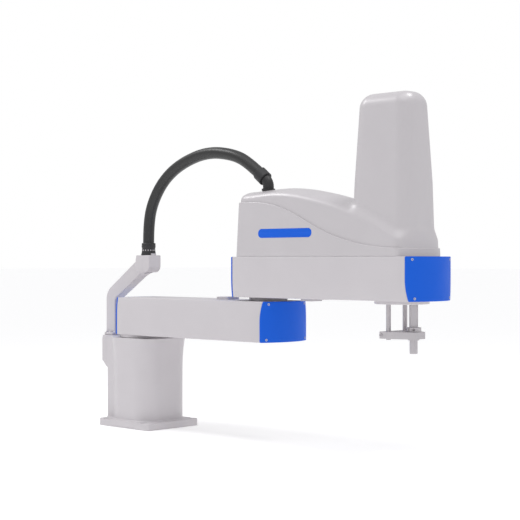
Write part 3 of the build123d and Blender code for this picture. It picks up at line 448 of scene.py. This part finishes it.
# ---------------------------------------------------------------- base
def base_field(x, y, z):
    """The base casting: bolt-down plate, flared column, rear box, motor space and holes."""
    plate_x, plate_y, plate_r, plate_t = 112, 101, 10, 21.0
    column_half, column_r, column_wall = 89.0, 58.0, 10
    flare, flare_from, top = 5.5, 150, base_high[2]
    hole_x, hole_y, hole_r, seat_r, seat_from = 84, 88, 6.75, 11.5, 19.5
    reducer_r, motor_top, rear_top = 75.5, 225, 201

    plate = cut(rectangle(x, y, plate_x, plate_y, plate_r), z - plate_t, 2.5)
    grow = flare * np.clip((z - flare_from) / (top - flare_from), 0, 1) ** 2.9
    column = cut(rectangle(x, y, column_half + grow, column_half + grow, column_r), z - top, 1.8)
    box = cut(rectangle(x + 52, y, 60, 68, 3), z - top, 1.8)
    body = join(join(column, box, 9), plate, 5)
    body = np.maximum(body, -z)

    inner_half, inner_r = column_half - column_wall, column_r - column_wall
    space = np.maximum(rectangle(x, y, inner_half, inner_half, inner_r), z - motor_top)
    seat = np.maximum(np.hypot(x, y) - reducer_r, 215 - z)
    rear_space = np.maximum(rectangle(x + 60, y, 44, 59, 4), z - rear_top)
    from_hole = np.hypot(np.abs(x) - hole_x, np.abs(y) - hole_y)
    holes = from_hole - hole_r
    recess = np.maximum(from_hole - seat_r, seat_from - z)
    channel = np.maximum(np.abs(x - 2) - 52, z - 1.5)
    for hollow in (space, seat, rear_space, holes, recess, channel):
        body = np.maximum(body, -hollow)
    return body


def housing_field(x, y, z):
    """The connector housing behind the column, chamfered below and hollow towards the connector panel."""
    (back, _, low), (front, half, top) = node_box("rear_housing")
    wall, shelf, panel_low, panel_high = 5, low + 40, 189, 255
    side = [(front + 3, low), (front + 3, top), (back, top), (back, low + 60), (back + 20, shelf)]
    side.append((front - 16, shelf))
    shape = rounded_path(np.array(side, float), [0, 3, 3, 9, 9, 30])
    outer = cut(polygon(x, z, shape), np.abs(y) - half, 2.5)
    inner = np.maximum(rectangle(x - back - 20, y, 40, half - wall, 3), slab(z, panel_low, panel_high))
    return np.maximum(outer, -inner)


def bracket_field(x, y, z):
    """The conduit bracket: foot, riser, slanting arm and the block that holds the fitting."""
    (back, _, low), (front, _, top) = node_box("conduit_bracket")
    riser_half, block_half, bore_r, foot_x, foot_t = 17, 23, 12, -159, 9
    arm = [(back, low), (back, 398), (-32, 497), (-6, 497), (-6, 462), (-18, 452), (-138, 377), (-138, low)]
    arm = rounded_path(np.array(arm, float), [0, 45, 0, 0, 0, 14, 16, 0])
    riser = cut(polygon(x, z, arm), np.abs(y) - riser_half, 2.5)
    side = [(-32, top), (front, top), (front, 458), (-24, 458), (-32, 470)]
    side = rounded_path(np.array(side, float), [2, 2, 20, 4, 4])
    block = cut(polygon(x, z, side), np.abs(y) - block_half, 2)
    foot = cut(rectangle(x - foot_x, y, 21, 26, 5), slab(z, low, low + foot_t), 2.5)
    body = join(join(riser, block, 12), foot, 5)
    bore = np.hypot(x, y) - bore_r
    return np.maximum(np.maximum(body, low - z), -bore)


def make_base():
    """The base casting, the connector housing and the conduit bracket."""
    vertices, quads, normals = surface(base_field, plate_low, base_high, 2.6)
    add_piece("base_body", vertices, quads, "grey_paint", "base", ["base_casting"], normals)
    low, high = node_box("rear_housing")
    vertices, quads, normals = surface(housing_field, low, high, 2.0)
    add_piece("connector_housing", vertices, quads, "grey_paint", "base", ["rear_housing"], normals)
    low, high = node_box("conduit_bracket")
    vertices, quads, normals = surface(bracket_field, low, high, 2.0)
    add_piece("bracket", vertices, quads, "grey_paint", "base", ["conduit_bracket"], normals)


# ---------------------------------------------------------------- links
def half_section(z_wide, z_narrow, inset, corner):
    """One half of a link's section, from its wide face round to its narrow face, as (y, z).

    The sides are arcs that start upright at half height and lean in to the narrow face.
    """
    way = math.copysign(1, z_narrow - z_wide)
    height = abs(z_narrow - z_wide) / 2
    big_r = (height**2 + (arm_wide - arm_narrow) ** 2) / (2 * (arm_wide - arm_narrow))
    middle, hub = (z_wide + z_narrow) / 2, arm_wide - big_r
    wide, z0, z1 = arm_wide - inset, z_wide + way * inset, z_narrow - way * inset
    points = [(y, z0) for y in np.linspace(0, wide - corner, 15)]
    for angle in np.linspace(0, math.pi / 2, 7)[1:]:
        points.append((wide - corner + corner * math.sin(angle), z0 + way * corner * (1 - math.cos(angle))))
    points += [(wide, z) for z in np.linspace(z0 + way * corner, middle, 6)[1:]]
    side_r = big_r - inset
    rise = abs(z1 - middle) - corner
    lean = math.asin(rise / (side_r - corner))
    for angle in np.linspace(0, lean, 9)[1:]:
        points.append((hub + side_r * math.cos(angle), middle + way * side_r * math.sin(angle)))
    centre_y = hub + (side_r - corner) * math.cos(lean)
    for angle in np.linspace(lean, math.pi / 2, 7)[1:]:
        points.append((centre_y + corner * math.cos(angle), z1 - way * corner * (1 - math.sin(angle))))
    points += [(y, z1) for y in np.linspace(centre_y, 0, 15)[1:]]
    return points


def link_section(z_wide, z_narrow, inset=0.0, corner=3.0):
    """A link's whole section, as (y, z) round a loop that runs the same way for both links."""
    half = half_section(z_wide, z_narrow, inset, max(corner - inset, 0.4))
    loop = half + [(-y, z) for y, z in half[-2:0:-1]]
    return np.array(loop if z_narrow > z_wide else loop[::-1])


def end_row(section, share, apex, way, radius):
    """The section shrunk to a share about its middle, laid on the cylinder of an end's curved face."""
    middle = np.array([0.0, (section[:, 1].min() + section[:, 1].max()) / 2])
    y, z = (middle + share * (section - middle)).T
    x = apex - way * end_r + way * np.sqrt(radius**2 - y**2)
    return np.stack([x, y, z], 1)


SHARES = (0.12, 0.3, 0.48, 0.66, 0.82, 0.94)  # rings of a curved end, from its middle outwards


def make_link(name, rear, front, z_wide, z_narrow, body, node):
    """A link's casting: its curved ends are set back by the thickness of the end covers."""
    backs = (0.0, 0.35, 1.1)
    rim = [link_section(z_wide, z_narrow, inset) for inset in backs[::-1]]
    radius = end_r - end_t
    rows = [end_row(rim[0], share, rear, -1, radius) for share in SHARES]
    rows += [end_row(section, 1, rear, -1, radius - back) for section, back in zip(rim, backs)]
    start, end = rows[-1], end_row(rim[-1], 1, front, 1, radius - backs[-1])
    rows += [start + (end - start) * t for t in np.linspace(0, 1, 16)[1:]]
    for section, back in zip(rim[-2::-1], backs[-2::-1]):
        rows.append(end_row(section, 1, front, 1, radius - back))
    rows += [end_row(rim[0], share, front, 1, radius) for share in SHARES[::-1]]
    middle = (z_wide + z_narrow) / 2
    poles = [(apex - way * end_t, 0, middle) for apex, way in ((rear, -1), (front, 1))]
    vertices, faces = strip_faces(rows, *poles)
    add_piece(name, vertices, faces, "grey_paint", body, [node], sharp=28)


def make_end_cover(name, apex, way, z_wide, z_narrow, body, node):
    """A blue end cover: a curved plate with a rounded rim, over the end of a link."""
    edge_r, seam = 1.8, 0.35
    back = end_r - end_t + seam
    inner = link_section(z_wide, z_narrow, 0.5)
    rows = [end_row(inner, share, apex, way, back) for share in SHARES]
    rows.append(end_row(inner, 1, apex, way, back))
    rows.append(end_row(link_section(z_wide, z_narrow, 0), 1, apex, way, back + 0.5))
    for angle in np.linspace(0, math.pi / 2, 6):
        section = link_section(z_wide, z_narrow, edge_r * (1 - math.cos(angle)))
        rows.append(end_row(section, 1, apex, way, end_r - edge_r * (1 - math.sin(angle))))
    rows += [end_row(section, share, apex, way, end_r) for share in SHARES[::-1]]
    if way < 0:
        rows = [row[::-1] for row in rows]
    middle = (z_wide + z_narrow) / 2
    reach = apex - way * end_r
    vertices, faces = strip_faces(rows, (reach + way * back, 0, middle), (apex, 0, middle))
    add_piece(name, vertices, faces, "blue_cover", body, [node], sharp=35)


def make_links():
    """Both links and their four end covers."""
    arm1_rear, arm1_front = node_box("arm1_rear_cover")[0][0], node_box("arm1_front_cover")[1][0]
    arm2_rear, arm2_front = node_box("arm2_rear_cover")[0][0], node_box("arm2_front_cover")[1][0]
    sizes = (
        (1, arm1_rear, arm1_front, arm1_low[2], arm1_high[2]),
        (2, arm2_rear, arm2_front, arm2_high[2], arm2_low[2]),
    )
    for link, rear, front, z_wide, z_narrow in sizes:
        make_link(f"link_{link}", rear, front, z_wide, z_narrow, f"arm{link}", f"arm{link}_casting")
    for link, rear, front, z_wide, z_narrow in sizes:
        for end, apex, way in (("rear", rear, -1), ("front", front, 1)):
            node = f"arm{link}_{end}_cover"
            make_end_cover(f"end_cover_{link}_{end}", apex, way, z_wide, z_narrow, f"arm{link}", node)


# ---------------------------------------------------------------- covers over arm 2
# Height above arm 2's top face of the line where the skirt stops, and of the upper cover's side crease.
skirt_line = curve_through(
    [(430, 146), (545, 145), (603, 135), (692, 103), (761, 72), (846, 44), (927, 28), (1050, 20)]
)
crease_line = curve_through(
    [(430, 160), (520, 164), (590, 167), (737, 148), (835, 122), (926, 85), (1014, 46), (1050, 34)]
)


def cover_loop(z, inset):
    """The covers' outline at a height: straight sides, ends of a large radius and rounded corners."""
    lean = inset + (z - arm2_top) * cover_taper
    half, radius = cover_half - lean, end_r - inset
    rear, front = cover_rear + lean, cover_front - lean
    corner_y = half - cover_corner
    turn = math.asin(corner_y / (radius - cover_corner))
    reach = (radius - cover_corner) * math.cos(turn)
    front_middle, rear_middle = front - radius, rear + radius

    end_angles, corner_angles = np.linspace(0, turn, 12), np.linspace(turn, math.pi / 2, 9)
    loop = [(front_middle + radius * math.cos(a), radius * math.sin(a)) for a in end_angles]
    for a in corner_angles[1:]:
        x = front_middle + reach + cover_corner * math.cos(a)
        loop.append((x, corner_y + cover_corner * math.sin(a)))
    loop += [(x, half) for x in np.linspace(loop[-1][0], rear_middle - reach, 60)[1:]]
    for a in corner_angles[-2::-1]:
        x = rear_middle - reach - cover_corner * math.cos(a)
        loop.append((x, corner_y + cover_corner * math.sin(a)))
    loop += [(rear_middle - radius * math.cos(a), radius * math.sin(a)) for a in end_angles[-2::-1]]
    return np.array(loop + [(x, -y) for x, y in loop[-2:0:-1]])


def make_skirt():
    """The lower cover: a thin wall with a rounded lip, which follows the curved line."""
    foot = cover_loop(arm2_top, 0)
    lip, lip_r = skirt_line(foot[:, 0]), 2.3

    # Each row: its inset, its height, and how much of the lip's height it adds to that.
    profile = [(skin, 0.2, 0), (0.4, 0.2, 0), (0.0, 0.7, 0)]
    profile += [(0.0, 0.0, share) for share in np.linspace(0, 1, 22)[2:-2]]
    for angle in np.linspace(0, math.pi / 2, 6):
        profile.append((lip_r * (1 - math.cos(angle)), lip_r * (math.sin(angle) - 1), 1))
    profile += [(skin, -0.5, 1), (skin, -14, 1)]

    far = 200.0  # the outline changes evenly with height, so two outlines give all the others
    rows = []
    for inset, offset, share in profile:
        low, high = cover_loop(arm2_top, inset), cover_loop(arm2_top + far, inset)
        up = (offset + share * lip)[:, None]
        rows.append(np.hstack([low + (high - low) * up / far, arm2_top + up]))
    vertices, faces = strip_faces(rows, None, None, close_rows=True)
    add_piece("cover_skirt", vertices, faces, "grey_cover", "arm2", ["skirt_cover"], sharp=40)


def make_mark():
    """A plain blue bar on the skirt's side."""
    middle_x, middle_up, half_x, half_up, proud = 640.0, 62.0, 96.0, 12.0, 0.35
    outline = []
    for way_x, start in ((1, 0), (-1, 90), (-1, 180), (1, 270)):
        for angle in np.radians(np.linspace(start, start + 90, 9)):
            x = way_x * (half_x - half_up) + half_up * math.cos(angle)
            outline.append((x, half_up * math.sin(angle)))
    outline = np.array(outline)
    rows = []
    for share, out in ((1.0, -0.5), (1.0, 0.2), (0.985, proud), (0.5, proud)):
        x, up = (np.array([middle_x, middle_up]) + share * outline).T
        rows.append(np.stack([x, -(cover_half - up * cover_taper) - out, arm2_top + up], 1))
    centre = (middle_x, -(cover_half - middle_up * cover_taper) - proud, arm2_top + middle_up)
    vertices, faces = strip_faces(rows, None, centre)
    add_piece("side_mark", vertices, faces, "blue_cover", "arm2", sharp=30)


def outline_field(x, y, z):
    """The upright, slightly tapered wall that the upper cover stays within."""
    up = z - arm2_top
    lean = cover_step + up * cover_taper
    radius = end_r - cover_step
    past_front = np.maximum(x - (cover_front - lean - radius), 0)
    past_rear = np.maximum(cover_rear + lean + radius - x, 0)
    ends = np.maximum(np.hypot(past_front, y), np.hypot(past_rear, y)) - radius
    return cut(np.abs(y) - (cover_half - lean), ends, cover_corner)


def hump_field(x, y, z):
    """The low part of the upper cover: its wall, a crowned top and a soft crease between them."""
    crown_drop, crown_rise, crease_r = 4, 21, 12
    crown = arm2_top + crease_line(x) - crown_drop + crown_rise * (1 - (y / cover_half) ** 2)
    return cut(outline_field(x, y, z), (z - crown) * 0.93, crease_r)


def tower_field(x, y, z):
    """The tower: a tall box with large round corners that narrows upwards."""
    levels, rears, fronts, halves = np.array(
        [(530, 690, 915), (836, 842, 849), (1034, 1030, 1021), (68, 64.5, 49.5)], float
    )
    rear, front, half = (np.interp(z, levels, sizes) for sizes in (rears, fronts, halves))
    corner_r, top_r = 40, 36
    side = rectangle(x - (rear + front) / 2, y, (front - rear) / 2, half, corner_r)
    return cut(side, z - top_high[2], top_r)


def upper_cover_field(x, y, z):
    """The hump and the tower with a fillet between them, kept within the cover's wall."""
    body = join(hump_field(x, y, z), tower_field(x, y, z), 22)
    return cut(body, outline_field(x, y, z), 2)


def make_upper_cover():
    """The upper cover, open below, where its edge stands inside the skirt."""

    def closed(x, y, z):
        below = arm2_top + skirt_line(x) - 12 - z
        return np.maximum(upper_cover_field(x, y, z), below * 0.9)

    vertices, quads, normals = surface(closed, top_low, top_high, 3.0)
    x, y, z = vertices.T
    on_floor = upper_cover_field(x, y, z) < -0.4
    keep = ~on_floor[quads].all(1)
    vertices, faces = thicken(vertices, quads[keep], normals, skin)
    used, flat = np.unique([i for face in faces for i in face], return_inverse=True)
    faces = flat.reshape(-1, 4)
    add_piece("cover_upper", vertices[used], faces, "grey_cover", "arm2", ["top_cover"])


# ---------------------------------------------------------------- CAD nodes
def dress_nodes():
    """Each CAD node gets the material of its slot. Those that a visual piece stands for are hidden where that
    piece is made, not here.
    """
    slots = {part["node"]: part["material_slot"] for part in frame["record"]["subparts"]}
    for name, node in frame["nodes"].items():
        node.data.materials.clear()
        node.data.materials.append(MATERIALS[slots[name]])


# ---------------------------------------------------------------- studio
def add_light(name, place, target, size, power):
    """A square softbox that faces a target."""
    light = bpy.data.lights.new(name, "AREA")
    light.size = size
    light.energy = power
    lamp = bpy.data.objects.new(name, light)
    lamp.location = place
    lamp.rotation_euler = (Vector(target) - Vector(place)).to_track_quat("-Z", "Y").to_euler()
    bpy.context.scene.collection.objects.link(lamp)


def make_surround():
    """A bright backdrop all round, which lights the object less strongly than it shows behind it."""
    world = bpy.data.worlds.new("surround")
    world.use_nodes = True
    tree = world.node_tree
    seen = tree.nodes["Background"]
    seen.inputs["Color"].default_value = (1, 1, 1, 1)
    seen.inputs["Strength"].default_value = 1.0
    lit = tree.nodes.new("ShaderNodeBackground")
    lit.inputs["Color"].default_value = (0.985, 0.985, 1.0, 1)
    lit.inputs["Strength"].default_value = 0.60
    rays = tree.nodes.new("ShaderNodeLightPath")
    either = tree.nodes.new("ShaderNodeMixShader")
    tree.links.new(rays.outputs["Is Camera Ray"], either.inputs["Fac"])
    tree.links.new(lit.outputs["Background"], either.inputs[1])
    tree.links.new(seen.outputs["Background"], either.inputs[2])
    tree.links.new(either.outputs["Shader"], tree.nodes["World Output"].inputs["Surface"])
    bpy.context.scene.world = world


def make_studio():
    """A plain pale floor to the horizon, a bright even surround and soft lights."""
    floor = bpy.data.meshes.new("floor")
    half = 60.0
    corners = [(-half, -half, 0), (half, -half, 0), (half, half, 0), (-half, half, 0)]
    floor.from_pydata(corners, [], [(0, 1, 2, 3)])
    material, _, shader = new_material("floor", (0.95, 0.95, 0.95), 0.9)
    shader.inputs["Emission Color"].default_value = (1, 1, 1, 1)
    shader.inputs["Emission Strength"].default_value = 0.2
    floor.materials.append(material)
    ground = bpy.data.objects.new("floor", floor)
    bpy.context.scene.collection.objects.link(ground)
    make_surround()
    bpy.context.scene.view_settings.view_transform = "Standard"
    sun = bpy.data.lights.new("sky", "SUN")
    sun.energy = 0.8
    sun.angle = math.radians(50)
    lamp = bpy.data.objects.new("sky", sun)
    lamp.rotation_euler = Vector((-0.15, 0.35, -1.0)).to_track_quat("-Z", "Y").to_euler()
    bpy.context.scene.collection.objects.link(lamp)
    add_light("overhead", (1.3, 0.5, 2.6), (0.8, 0, 0.6), 0.5, 11)
    add_light("rear_strip", (-1.2, -0.7, 2.5), (0.6, 0, 0.6), 0.8, 16)


make_camera()
make_conduit()
make_fitting()
dress_nodes()
make_base()
make_links()
make_skirt()
make_mark()
make_upper_cover()
make_studio()
